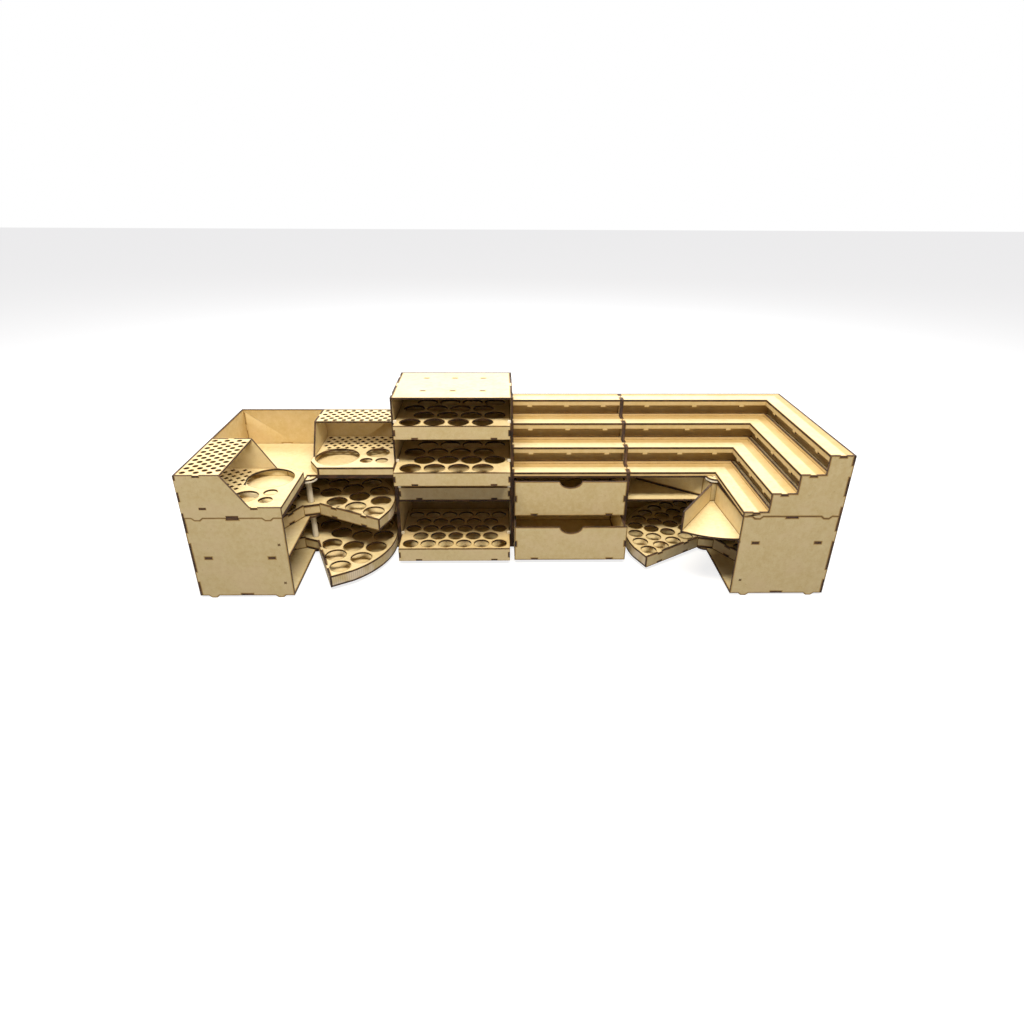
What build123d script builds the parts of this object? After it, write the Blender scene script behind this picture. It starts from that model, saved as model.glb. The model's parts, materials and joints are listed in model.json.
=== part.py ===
from build123d import *
from math import asin, degrees, radians, sqrt
import os

# Hobby workstation organizer: five stacked and joined modules cut from 3 mm board.
#
# From left to right: a corner cabinet with two swivel trays and a brush and palette rack on it,
# a tower of pull-out bottle and pot trays, a drawer case under a stepped shelf, and a second
# corner cabinet with two swivel trays under a stepped corner shelf.
#
# Millimetres. X runs along the front, Y towards the back and Z up. The origin is on the floor
# under the middle of the whole row. Corner modules are drawn for the left end, and those of the
# right end are mirrored across the middle. A corner module is itself nearly the same on both
# sides of its diagonal, so many of its sheets are drawn once and mirrored across that.

# board and fits
sheet = 3.0  # board thickness
glide_gap = 0.4  # under and over a moving tray
side_gap = 1.0  # each side of a pull-out tray or drawer
stop_gap = 2.0  # behind a closed tray
swing_gap = 2.5  # round a swivel tray
pivot_gap = 0.3  # between the post and a swivel tray

# modules
corner_length = 300.0
straight_width = 200.0
depth = 150.0
case_height = 140.0
tower_height = 140.0
rack_height = 70.0

# stacking feet
foot_height = 4.0
foot_width = 17.0
foot_angle = 40.0
foot_inset = 22.0

# tabs and slots
wide_tab = 18.0
narrow_tab = 10.0
corner_tab = 20.0
pair_inset = 26.0

# shelves, from a case's lower edge to the shelf's underside
left_shelf = 68.0
right_shelf = 92.0
tower_low_shelf = 92.0
tower_high_shelf = 69.5
drawer_shelf = 68.0

# pivot posts
post_radius = 5.0
ear_radius = 15.0
collar_radius = 16.0
collar_height = 2.5
hub_leg = 18.0  # from the pivot to each corner of a tray's hub

# swivel trays
swivel_height = 21.0
divider_head = 2.1  # between the divided tray and the post's collar
compartments = 7
left_low_swing = -68.0
left_high_swing = -28.0
right_low_swing = -32.5
right_high_swing = 35.5

# bottle and pot holes
pot_hole = 35.0
bottle_hole = 26.0
hole_web = 3.0
edge_web = 1.0  # between the first hole of a ring and the tray's straight wall
pot_pitch = 40.2
bottle_pitch = 31.0
hole_sides = 8  # few-sided holes keep the many trays light
pen_sides = 6
pen_foot_sides = 4
post_sides = 12
round_sides = 20
bend_sides = 24  # kerf-cut flats in a full turn of a swivel tray

# pull-out trays and drawers
tray_height = 23.0
low_tray_out = 53.0
middle_tray_out = 0.0
high_tray_out = 46.0
top_tray_out = 15.0
low_drawer_out = 51.0
high_drawer_out = 15.5
drawer_side_drop = 6.2  # from the top of a drawer's front down to its sides
grip_width = 37.0
grip_depth = 12.0
grip_round = 3.0
peg_size = 4.0
peg_reach = 5.0
tray_tab_left = 34.5
tray_tab_right = 27.0
top_slot = 7.0
top_slot_pitch = 50.0
top_slot_rows = 75.0

# brush and palette rack
pen_plate_depth = 67.0
palette_level = 17.0
slope_end = 103.0
palette_tab_inset = 110.0
pen_hole = 8.0
pen_pitch = 16.0
pen_row = 20.0
pen_rows = 3
pen_count = 9
pen_margin = 10.5
palette_cut_front = 18.0
palette_cut_side = 30.0
cup_hole = 76.0
dish_hole = 41.0
well_hole = 21.0
cup_place = (43.0, 47.0)
dish_place = (111.0, 66.0)
well_places = ((96.0, 31.0), (123.0, 31.0))

# stepped shelves
treads = 4
first_tread = 7.0
tread_rise = 31.0
lip_height = 8.0
back_lip_height = 5.0
riser_setback = 12.0
lip_tab_drop = 3.0
lip_tabs = 3

# levels and places worked out from the sizes above
case_z = foot_height
stack_z = case_z + case_height
x_left = -straight_width - corner_length
x_inner = -straight_width
y_back = corner_length / 2
y_open = y_back - depth
y_front = -corner_length / 2
pivot = (x_left + depth, y_open)
pivot_diagonal = Plane(origin=(*pivot, 0), z_dir=(1, 1, 0))
opening = corner_length - depth
swing_radius = min(depth, opening) - sheet - swing_gap
tray_width = straight_width - 2 * sheet - 2 * side_gap
tray_depth = depth - sheet - stop_gap
step_height = first_tread + (treads - 1) * tread_rise
tread_depth = depth / treads
end_middle = (y_open + depth / 2,)
end_pair = (y_open + pair_inset, y_back - pair_inset)
end_feet = (y_open + foot_inset, y_back - foot_inset)
back_middles = (x_left + corner_length / 4, x_inner - corner_length / 4)
side_middles = (y_front + corner_length / 4, y_back - corner_length / 4)
back_feet = (x_left + foot_inset, x_inner - foot_inset)
side_feet = (y_front + foot_inset, y_back - foot_inset)


def upright(y):
    """Sketch plane of a sheet that faces the front and fills y to y plus one thickness."""
    return Plane.XZ.offset(-y - sheet)


def block(u0, v0, u1, v1, mode=Mode.ADD):
    """A rectangle by its two corners."""
    with Locations(((u0 + u1) / 2, (v0 + v1) / 2)):
        Rectangle(u1 - u0, v1 - v0, mode=mode)


def tabs(centres, width, v, mode=Mode.ADD):
    """Tabs, or their slots, one sheet high above v."""
    for centre in centres:
        block(centre - width / 2, v, centre + width / 2, v + sheet, mode)


def side_tabs(u, centres, width, mode=Mode.ADD):
    """Tabs, or their slots, one sheet wide to the right of u."""
    for centre in centres:
        block(u, centre - width / 2, u + sheet, centre + width / 2, mode)


def feet(centres, edge, mode=Mode.ADD):
    """Tapered feet under an edge, or the notches for the feet of the tier above."""
    with Locations(*[(centre, edge - foot_height / 2) for centre in centres]):
        Trapezoid(foot_width, foot_height, foot_angle, rotation=180, mode=mode)


def fingers(z, height):
    """Heights of the two finger joints on an upright edge."""
    return (z + height / 4, z + 3 * height / 4)


def ell(inner, outer, end):
    """L-shaped strip of a corner module, between two distances behind its open edges."""
    px, py = pivot
    corners = [
        (x_inner - end, py + inner),
        (px - inner, py + inner),
        (px - inner, y_front + end),
        (px - outer, y_front + end),
        (px - outer, py + outer),
        (x_inner - end, py + outer),
    ]
    Polygon(*corners, align=None)


def deck_tabs(decks):
    """Level, tab centres and tab width of each deck: the shelf has a narrow pair."""
    base, shelf, top = decks
    return (
        (base, end_middle, wide_tab),
        (shelf, end_pair, narrow_tab),
        (top, end_middle, wide_tab),
    )


def save(name, *pieces, side="left"):
    """Write one node with its sheets as separate solids, those of the right end mirrored."""
    solids = [solid for piece in pieces for solid in piece.part.solids()]
    if side == "right":
        solids = [mirror(solid, about=Plane.YZ) for solid in solids]
    node = Compound(label=name, children=solids) if len(solids) > 1 else solids[0]
    node.label = name
    export_step(node, f"parts/{name}.step")


os.makedirs("parts", exist_ok=True)


# ---- corner modules: shared walls and ends ----


def corner_back(z, height, decks, stacked=False):
    """Back wall of a corner module, notched for the outer wall and the inner end."""
    with BuildPart() as back:
        with BuildSketch(upright(y_back - sheet)):
            block(x_left, z, x_inner, z + height)
            side_tabs(x_left, fingers(z, height), corner_tab, Mode.SUBTRACT)
            side_tabs(x_inner - sheet, fingers(z, height), corner_tab, Mode.SUBTRACT)
            for level in decks:
                tabs(back_middles, wide_tab, level, Mode.SUBTRACT)
            feet(back_feet, z)
            if stacked:
                feet(back_feet, z + height, Mode.SUBTRACT)
        extrude(amount=sheet)
    return back


def corner_side(z, height, decks, stacked=False):
    """Outer side wall, tabbed into the back wall and notched for the front end."""
    with BuildPart() as side_wall:
        with BuildSketch(Plane.YZ.offset(x_left)):
            block(y_front, z, y_back - sheet, z + height)
            side_tabs(y_front, fingers(z, height), corner_tab, Mode.SUBTRACT)
            side_tabs(y_back - sheet, fingers(z, height), corner_tab)
            for level in decks:
                tabs(side_middles, wide_tab, level, Mode.SUBTRACT)
            feet(side_feet, z)
            if stacked:
                feet(side_feet, z + height, Mode.SUBTRACT)
        extrude(amount=sheet)
    return side_wall


def cabinet_decks(shelf):
    """Base, shelf and top of a cabinet, each with an ear that holds the post."""
    with BuildPart() as decks:
        for level, end_tabs, width in deck_tabs((case_z, case_z + shelf, stack_z - sheet)):
            with BuildSketch(Plane.XY.offset(level)):
                side_tabs(x_inner - sheet, end_tabs, width)
                mirror(about=pivot_diagonal)
                ell(0, depth - sheet, sheet)
                if level == case_z + shelf:
                    side_tabs(x_left, side_middles, wide_tab)
                    tabs(back_middles, wide_tab, y_back - sheet)
                with Locations(pivot):
                    RegularPolygon(ear_radius, round_sides)
                    RegularPolygon(post_radius, post_sides, mode=Mode.SUBTRACT)
            extrude(amount=sheet)
    return decks


def cabinet_ends(shelf):
    """The two end panels, at the straight modules and at the front."""
    with BuildPart() as ends:
        with BuildSketch(Plane.YZ.offset(x_inner - sheet)):
            block(y_open, case_z, y_back - sheet, stack_z)
            side_tabs(y_back - sheet, fingers(case_z, case_height), corner_tab)
            tabs(end_middle, wide_tab, case_z, Mode.SUBTRACT)
            tabs(end_pair, narrow_tab, case_z + shelf, Mode.SUBTRACT)
            tabs(end_middle, wide_tab, stack_z - sheet, Mode.SUBTRACT)
            feet(end_feet, case_z)
            feet(end_feet, stack_z, Mode.SUBTRACT)
        extrude(amount=sheet)
        mirror(about=pivot_diagonal)
    return ends


def post_rod():
    """The post that both trays turn on."""
    with BuildPart() as rod:
        with BuildSketch(Plane.XY.offset(case_z)):
            with Locations(pivot):
                RegularPolygon(post_radius, post_sides)
        extrude(amount=case_height)
    return rod


def post_collar():
    """Collar under the cabinet's top that steadies the post."""
    with BuildPart() as collar:
        with BuildSketch(Plane.XY.offset(stack_z - sheet - collar_height)):
            with Locations(pivot):
                RegularPolygon(collar_radius, round_sides)
                RegularPolygon(post_radius, post_sides, mode=Mode.SUBTRACT)
        extrude(amount=collar_height)
    return collar


# ---- swivel trays ----


def swivel_plane(swing, z):
    """Plane of a tray sheet: closed trays open towards +X and -Y of their corner."""
    return Plane(Location((*pivot, z), (0, 0, swing)))


def edge_strip(start, end, mode=Mode.ADD):
    """Strip one sheet wide inside each straight edge of a tray."""
    block(start, 0, end, sheet, mode)
    block(-sheet, -end, 0, -start, mode)


def swivel_outline():
    """Three quarters of a disc, its inner corner cut across at the hub."""
    RegularPolygon(swing_radius, bend_sides)
    block(0, -swing_radius, swing_radius, 0, Mode.SUBTRACT)
    Polygon((0, 0), (hub_leg, 0), (0, -hub_leg), align=None)
    Circle(post_radius + pivot_gap, mode=Mode.SUBTRACT)


def wall_tabs(mode=Mode.ADD):
    """Tabs of a tray's floor and plate through its straight walls."""
    length = swing_radius - hub_leg
    for share in (1 / 4, 3 / 4):
        middle = hub_leg + share * length
        edge_strip(middle - narrow_tab / 2, middle + narrow_tab / 2, mode)


def ring_holes(hole):
    """Rings of holes that fill a tray from its rim inwards, first and last beside the edges."""
    pitch = hole + hole_web
    ring = swing_radius - sheet - hole_web - hole / 2
    while ring > hub_leg + hole / 2:
        start = degrees(asin((sheet + edge_web + hole / 2) / ring))
        spread = 270 - 2 * start
        gaps = int(radians(spread) * ring / pitch)
        with PolarLocations(ring, gaps + 1, start, spread, endpoint=True):
            RegularPolygon(hole / 2, hole_sides, mode=Mode.SUBTRACT)
        ring -= pitch


def swivel_floor(swing, z):
    with BuildPart() as floor:
        with BuildSketch(swivel_plane(swing, z)):
            swivel_outline()
            edge_strip(hub_leg, 2 * swing_radius, Mode.SUBTRACT)
            wall_tabs()
        extrude(amount=sheet)
    return floor


def swivel_plate(swing, z, hole):
    with BuildPart() as plate:
        with BuildSketch(swivel_plane(swing, z)):
            swivel_outline()
            edge_strip(hub_leg, 2 * swing_radius, Mode.SUBTRACT)
            ring_holes(hole)
            wall_tabs()
        extrude(amount=sheet)
    return plate


def swivel_hub(swing, z, height):
    """Square sleeve round the post, whose outer face closes the tray's cut corner."""
    with BuildSketch(swivel_plane(swing, z)) as section:
        RegularPolygon(hub_leg, 4)
        RegularPolygon(hub_leg - sheet * sqrt(2), 4, mode=Mode.SUBTRACT)
    extrude(section.sketch, amount=height)


def swivel_walls(swing, z):
    """Two straight walls and the hub of a tray with holes."""
    top = z + swivel_height
    with BuildPart() as walls:
        with BuildSketch(swivel_plane(swing, z)):
            edge_strip(hub_leg, swing_radius)
        extrude(amount=swivel_height)
        for level in (z, top - sheet):
            with BuildSketch(swivel_plane(swing, level)):
                wall_tabs()
            extrude(amount=sheet, mode=Mode.SUBTRACT)
        swivel_hub(swing, z + sheet, swivel_height - 2 * sheet)
    return walls


def swivel_rim(swing, z):
    """The bent outer wall between floor and plate."""
    with BuildPart() as rim:
        with BuildSketch(swivel_plane(swing, z + sheet)):
            RegularPolygon(swing_radius, bend_sides)
            RegularPolygon(swing_radius - sheet, bend_sides, mode=Mode.SUBTRACT)
            block(-sheet, -swing_radius, swing_radius, sheet, Mode.SUBTRACT)
        extrude(amount=swivel_height - 2 * sheet)
    return rim


def swivel_dividers(swing, z, height):
    """Radial walls between the compartments of the divided tray."""
    inner = hub_leg
    step = 270 / compartments
    with BuildPart() as dividers:
        with BuildSketch(swivel_plane(swing, z + sheet)):
            edge_strip(inner, swing_radius)
            for number in range(1, compartments):
                with PolarLocations((inner + swing_radius - sheet) / 2, 1, number * step):
                    Rectangle(swing_radius - sheet - inner, sheet)
        extrude(amount=height)
    return dividers


def swivel_base(swing, z):
    """Floor of the divided tray, which its radial walls stand on."""
    with BuildPart() as floor:
        with BuildSketch(swivel_plane(swing, z)):
            swivel_outline()
        extrude(amount=sheet)
    return floor


def swivel_tray(name, side, swing, z, hole):
    save(f"{name}_floor", swivel_floor(swing, z), side=side)
    plate_z = z + swivel_height - sheet
    save(f"{name}_plate", swivel_plate(swing, plate_z, hole), side=side)
    save(f"{name}_walls", swivel_walls(swing, z), side=side)
    save(f"{name}_rim", swivel_rim(swing, z), side=side)


for side, shelf in (("left", left_shelf), ("right", right_shelf)):
    decks = (case_z + shelf,)
    save(f"{side}_cabinet_decks", cabinet_decks(shelf), side=side)
    save(
        f"{side}_cabinet_walls",
        corner_back(case_z, case_height, decks, stacked=True),
        corner_side(case_z, case_height, decks, stacked=True),
        side=side,
    )
    save(f"{side}_cabinet_ends", cabinet_ends(shelf), side=side)
    save(f"{side}_pivot_post", post_rod(), post_collar(), side=side)

low_level = case_z + sheet + glide_gap
swivel_tray("left_low_swivel", "left", left_low_swing, low_level, pot_hole)
swivel_tray("left_high_swivel", "left", left_high_swing, low_level + left_shelf, pot_hole)
swivel_tray("right_low_swivel", "right", right_low_swing, low_level, bottle_hole)

divided = low_level + right_shelf
divider_height = stack_z - sheet - collar_height - divider_head - divided - sheet
name = "right_high_swivel"
save(f"{name}_floor", swivel_base(right_high_swing, divided), side="right")
dividers = swivel_dividers(right_high_swing, divided, divider_height)
save(f"{name}_dividers", dividers, side="right")
with BuildPart() as hub:
    swivel_hub(right_high_swing, divided + sheet, divider_height)
save(f"{name}_hub", hub, side="right")


# ---- straight modules: tower and drawer case ----


def case_sides(x, z, height, decks, stacked):
    """Both side panels of a straight module whose left face is at x."""
    top = z + height
    with BuildPart() as sides:
        for wall_x in (x, x + straight_width - sheet):
            with BuildSketch(Plane.YZ.offset(wall_x)):
                block(y_open, z, y_back - sheet, top)
                side_tabs(y_back - sheet, fingers(z, height), corner_tab)
                for level, centres, width in deck_tabs(decks):
                    tabs(centres, width, level, Mode.SUBTRACT)
                feet(end_feet, z)
                if stacked:
                    feet(end_feet, top, Mode.SUBTRACT)
            extrude(amount=sheet)
    return sides


def case_decks(x, decks, slotted_top=False):
    """Base, shelf and top of a straight module, tabbed through its sides."""
    middle = x + straight_width / 2
    with BuildPart() as plates:
        for level, centres, width in deck_tabs(decks):
            with BuildSketch(Plane.XY.offset(level)):
                block(x + sheet, y_open, x + straight_width - sheet, y_back - sheet)
                side_tabs(x, centres, width)
                side_tabs(x + straight_width - sheet, centres, width)
                if slotted_top and level == decks[-1]:
                    with Locations((middle, y_open + depth / 2)):
                        with GridLocations(top_slot_pitch, top_slot_rows, 3, 2):
                            Rectangle(top_slot, sheet, mode=Mode.SUBTRACT)
            extrude(amount=sheet)
    return plates


def case_back(x, z, height):
    """Back panel between the sides' finger joints."""
    with BuildPart() as back:
        with BuildSketch(upright(y_back - sheet)):
            block(x, z, x + straight_width, z + height)
            side_tabs(x, fingers(z, height), corner_tab, Mode.SUBTRACT)
            side_tabs(x + straight_width - sheet, fingers(z, height), corner_tab, Mode.SUBTRACT)
        extrude(amount=sheet)
    return back


tower_x = -straight_width
tower_low = (case_z, case_z + tower_low_shelf, stack_z - sheet)
tower_high = (stack_z, stack_z + tower_high_shelf, stack_z + tower_height - sheet)
save(
    "tower_sides",
    case_sides(tower_x, case_z, case_height, tower_low, stacked=True),
    case_sides(tower_x, stack_z, tower_height, tower_high, stacked=True),
)
save(
    "tower_decks",
    case_decks(tower_x, tower_low),
    case_decks(tower_x, tower_high, slotted_top=True),
)
save(
    "tower_backs",
    case_back(tower_x, case_z, case_height),
    case_back(tower_x, stack_z, tower_height),
)

drawer_x = 0.0
drawer_decks = (case_z, case_z + drawer_shelf, stack_z - sheet)
save("drawer_case_sides", case_sides(drawer_x, case_z, case_height, drawer_decks, stacked=True))
save("drawer_case_decks", case_decks(drawer_x, drawer_decks))
save("drawer_case_back", case_back(drawer_x, case_z, case_height))


# ---- pull-out trays ----


def staggered_holes(x, y, hole, pitch):
    """Rows of holes closed up like a honeycomb, every second row shifted by half a pitch."""
    row = pitch * sqrt(3) / 2
    count = int((tray_width - hole) / pitch) + 1
    rows = int((tray_depth - sheet - hole) / row) + 1
    full = (tray_width - hole - (count - 1) * pitch) >= pitch / 2
    shift = pitch / 4 if full else 0
    first = y + sheet + (tray_depth - sheet - (rows - 1) * row) / 2
    middle = x + tray_width / 2
    for number in range(rows):
        even = number % 2 == 0
        offset = -shift if even else shift
        holes = count if full or even else count - 1
        with Locations((middle + offset, first + number * row)):
            with GridLocations(pitch, 1, holes, 1):
                RegularPolygon(hole / 2, hole_sides, mode=Mode.SUBTRACT)


def tray_tabs(x):
    """Two places across a tray where its floor is tabbed through its front."""
    return (x + tray_tab_left, x + tray_width - tray_tab_right)


def tray_front(x, z, height):
    """Front board of a tray or drawer, slotted for the floor and the sides."""
    block(x, z, x + tray_width, z + height)
    tabs(tray_tabs(x), narrow_tab, z, Mode.SUBTRACT)
    side_tabs(x, (z + height / 2,), narrow_tab, Mode.SUBTRACT)
    side_tabs(x + tray_width - sheet, (z + height / 2,), narrow_tab, Mode.SUBTRACT)


def tray_floor(x, y, z):
    with BuildPart() as floor:
        with BuildSketch(Plane.XY.offset(z)):
            block(x + sheet, y + sheet, x + tray_width - sheet, y + tray_depth - sheet)
            tabs(tray_tabs(x), narrow_tab, y)
        extrude(amount=sheet)
    return floor


def tray_sides(x, y, z, height, front_height):
    """Side walls, each tabbed once through the front board."""
    with BuildPart() as walls:
        for wall_x in (x, x + tray_width - sheet):
            with BuildSketch(Plane.YZ.offset(wall_x)):
                block(y + sheet, z, y + tray_depth, z + height)
                side_tabs(y, (z + front_height / 2,), narrow_tab)
            extrude(amount=sheet)
    return walls


def tray_back(x, y, z, height):
    with BuildPart() as back:
        with BuildSketch(upright(y + tray_depth - sheet)):
            block(x + sheet, z, x + tray_width - sheet, z + height)
        extrude(amount=sheet)
    return back


def save_box(name, x, y, z, height, front_height):
    """Floor, sides and back of a tray or drawer."""
    floor = tray_floor(x, y, z)
    sides = tray_sides(x, y, z, height, front_height)
    save(name, floor, sides, tray_back(x, y, z, height))


def pull_tray(name, shelf_z, out, hole, pitch):
    x = tower_x + sheet + side_gap
    y = y_open - out
    z = shelf_z + sheet + glide_gap
    with BuildPart() as front:
        with BuildSketch(upright(y)):
            tray_front(x, z, tray_height)
        extrude(amount=sheet)
    save(f"{name}_front", front)
    save_box(f"{name}_box", x, y, z, tray_height - sheet, tray_height)
    with BuildPart() as plate:
        with BuildSketch(Plane.XY.offset(z + tray_height - sheet)):
            block(x, y + sheet, x + tray_width, y + tray_depth)
            staggered_holes(x, y, hole, pitch)
        extrude(amount=sheet)
    save(f"{name}_plate", plate)


pull_trays = (
    ("low_tray", tower_low[0], low_tray_out, bottle_hole, bottle_pitch),
    ("middle_tray", tower_low[1], middle_tray_out, bottle_hole, bottle_pitch),
    ("high_tray", tower_high[0], high_tray_out, pot_hole, pot_pitch),
    ("top_tray", tower_high[1], top_tray_out, pot_hole, pot_pitch),
)
for tray in pull_trays:
    pull_tray(*tray)

# pegs over each tray keep it from tipping when it is pulled out
with BuildPart() as pegs:
    for _, shelf_z, _, _, _ in pull_trays:
        peg_z = shelf_z + sheet + tray_height + 2 * glide_gap
        for peg_x in (tower_x + sheet, tower_x + straight_width - sheet - peg_reach):
            with BuildSketch(Plane.YZ.offset(peg_x)):
                block(y_open, peg_z, y_open + peg_size, peg_z + peg_size)
            extrude(amount=peg_reach)
save("tray_stop_pegs", pegs)


# ---- drawers ----


def drawer(name, shelf_z, ceiling, out):
    x = drawer_x + sheet + side_gap
    y = y_open - out
    z = shelf_z + sheet + glide_gap
    height = ceiling - glide_gap - z
    top = z + height
    grip = x + tray_width / 2
    with BuildPart() as front:
        with BuildSketch(upright(y)) as board:
            tray_front(x, z, height)
            with Locations((grip, top)):
                Ellipse(grip_width / 2, grip_depth, mode=Mode.SUBTRACT)
            corners = board.vertices().group_by(Axis.Y)[-1].sort_by(Axis.X)[1:3]
            fillet(corners, grip_round)
        extrude(amount=sheet)
    save(f"{name}_front", front)
    save_box(f"{name}_box", x, y, z, height - drawer_side_drop, height)


drawer("low_drawer", drawer_decks[0], drawer_decks[1], low_drawer_out)
drawer("high_drawer", drawer_decks[1], drawer_decks[2], high_drawer_out)


# ---- brush and palette rack on the left cabinet ----

rack_top = stack_z + rack_height
palette_z = stack_z + palette_level - sheet
px, py = pivot

# the strip under the palette's cut corner, and how far its thickness reaches each way
cut_length = sqrt(palette_cut_front**2 + palette_cut_side**2)
cut_run_x = sheet * palette_cut_side / cut_length
cut_run_y = sheet * palette_cut_front / cut_length


def rack_place(along, behind):
    """A point of the rack's straight arm, by its distance from the pivot each way."""
    return (px + along, py + behind)


with BuildPart() as rack_base:
    with BuildSketch(Plane.XY.offset(stack_z)):
        side_tabs(x_inner - sheet, end_middle, wide_tab)
        mirror(about=pivot_diagonal)
        ell(0, depth - sheet, sheet)
        side_tabs(x_left, side_middles, wide_tab)
        tabs(back_middles, wide_tab, y_back - sheet)
    extrude(amount=sheet)
save("rack_base", rack_base)
rack_decks = (stack_z,)
save(
    "rack_walls",
    corner_back(stack_z, rack_height, rack_decks),
    corner_side(stack_z, rack_height, rack_decks),
)

plate_tab = (y_back - pen_plate_depth / 2,)
palette_tab = (y_back - palette_tab_inset,)
with BuildPart() as rack_ends:
    with BuildSketch(Plane.YZ.offset(x_inner - sheet)):
        Polygon(
            (y_open, stack_z),
            (y_open, palette_z + sheet),
            (y_back - slope_end, palette_z + sheet),
            (y_back - pen_plate_depth, rack_top),
            (y_back - sheet, rack_top),
            (y_back - sheet, stack_z),
            align=None,
        )
        side_tabs(y_back - sheet, fingers(stack_z, rack_height), corner_tab)
        tabs(end_middle, wide_tab, stack_z, Mode.SUBTRACT)
        tabs(plate_tab, narrow_tab, rack_top - sheet, Mode.SUBTRACT)
        tabs(plate_tab, narrow_tab, palette_z, Mode.SUBTRACT)
        tabs(palette_tab, narrow_tab, palette_z, Mode.SUBTRACT)
        feet(end_feet, stack_z)
    extrude(amount=sheet)
    with BuildSketch(Plane.YZ.offset(px)):
        Polygon(
            (y_open + palette_cut_side + cut_run_y, stack_z + sheet),
            (y_open + palette_cut_side + cut_run_y, palette_z),
            (y_back - slope_end, palette_z),
            (y_back - pen_plate_depth, rack_top),
            (y_back - sheet, rack_top),
            (y_back - sheet, stack_z + sheet),
            align=None,
        )
        tabs(plate_tab, narrow_tab, rack_top - sheet, Mode.SUBTRACT)
        tabs(plate_tab, narrow_tab, palette_z, Mode.SUBTRACT)
    extrude(amount=sheet)
    mirror(about=pivot_diagonal)
save("rack_side_panels", rack_ends)


def pen_holes(sides):
    """Two interleaved grids of holes for brushes and pens."""
    for count, shift in ((pen_count, 0), (pen_count - 1, pen_row / 2)):
        across = pen_margin + shift + pen_row * (pen_rows - 1) / 2
        with Locations((px + depth / 2, y_back - across)):
            with GridLocations(pen_pitch, pen_row, count, pen_rows):
                RegularPolygon(pen_hole / 2, sides, mode=Mode.SUBTRACT)


with BuildPart() as pen_plates:
    with BuildSketch(Plane.XY.offset(rack_top - sheet)):
        block(px + sheet, y_back - pen_plate_depth, x_inner - sheet, y_back - sheet)
        side_tabs(px, plate_tab, narrow_tab)
        side_tabs(x_inner - sheet, plate_tab, narrow_tab)
        pen_holes(pen_sides)
    extrude(amount=sheet)
    mirror(about=pivot_diagonal)
save("rack_pen_plates", pen_plates)

with BuildPart() as palettes:
    with BuildSketch(Plane.XY.offset(palette_z)):
        Polygon(
            (px + palette_cut_front, y_open),
            (x_inner - sheet, y_open),
            (x_inner - sheet, y_back - sheet),
            (px + sheet, y_back - sheet),
            (px + sheet, y_back - slope_end),
            (px, y_back - slope_end),
            (px, y_open + palette_cut_side),
            align=None,
        )
        side_tabs(px, plate_tab, narrow_tab)
        side_tabs(x_inner - sheet, plate_tab, narrow_tab)
        side_tabs(x_inner - sheet, palette_tab, narrow_tab)
        pen_holes(pen_foot_sides)
        with Locations(rack_place(*cup_place)):
            RegularPolygon(cup_hole / 2, round_sides, mode=Mode.SUBTRACT)
        with Locations(rack_place(*dish_place)):
            RegularPolygon(dish_hole / 2, round_sides, mode=Mode.SUBTRACT)
        with Locations(*[rack_place(*place) for place in well_places]):
            RegularPolygon(well_hole / 2, round_sides, mode=Mode.SUBTRACT)
    extrude(amount=sheet)
    mirror(about=pivot_diagonal)
save("rack_palettes", palettes)

with BuildPart() as fascias:
    with BuildSketch(Plane.XY.offset(stack_z + sheet)):
        block(px + palette_cut_front + cut_run_x, y_open, x_inner - sheet, y_open + sheet)
    extrude(amount=palette_level - 2 * sheet)
    mirror(about=pivot_diagonal)
cut_plane = Plane(
    origin=(px, y_open + palette_cut_side, stack_z + sheet),
    x_dir=(palette_cut_front, -palette_cut_side, 0),
    z_dir=(0, 0, 1),
)
with BuildPart() as corner_fascias:
    with BuildSketch(cut_plane):
        block(0, 0, cut_length, sheet)
    extrude(amount=palette_level - 2 * sheet)
    mirror(about=pivot_diagonal)
save("rack_fascias", fascias, corner_fascias)


# ---- stepped shelves ----


def tread_top(number):
    return stack_z + first_tread + number * tread_rise


def stair_outline(near, far, base):
    """Stair profile of an end panel, climbing from the near edge to the far one."""
    points = [(near, base)]
    for number in range(treads):
        points.append((near + number * tread_depth, tread_top(number)))
        points.append((near + (number + 1) * tread_depth, tread_top(number)))
    points[-1] = (far, tread_top(treads - 1))
    points.append((far, base))
    Polygon(*points, align=None)


def stair_end():
    """One end panel in the YZ plane, notched for the treads' tabs and with stacking feet."""
    stair_outline(y_open, y_back - sheet, stack_z)
    side_tabs(y_back - sheet, fingers(stack_z, step_height), corner_tab)
    for number in range(treads):
        middle = y_open + (number + 0.5) * tread_depth
        tabs((middle,), narrow_tab, tread_top(number) - sheet, Mode.SUBTRACT)
    feet(end_feet, stack_z)


def shelf_strips(strip):
    """Front lips with hanging tabs and low back lips, from a function that draws a strip."""
    for number in range(treads):
        front = number * tread_depth
        under = tread_top(number) - sheet
        drop = min(lip_height, under - stack_z)
        with BuildSketch(Plane.XY.offset(under - drop)) as lip:
            strip(front, front + sheet)
        extrude(lip.sketch, amount=drop)
        if number > 0:
            with BuildSketch(Plane.XY.offset(tread_top(number - 1))) as back_lip:
                strip(front, front + sheet)
            extrude(back_lip.sketch, amount=back_lip_height)


def tread_reach(number):
    """How far back a tread runs: to the riser under the next one, or to the wall."""
    if number == treads - 1:
        return depth - sheet
    return (number + 1) * tread_depth + riser_setback + sheet


step_x = 0.0
step_inner = step_x + sheet
step_outer = step_x + straight_width - sheet


def straight_strip(front, back):
    block(step_inner, y_open + front, step_outer, y_open + back)


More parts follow.
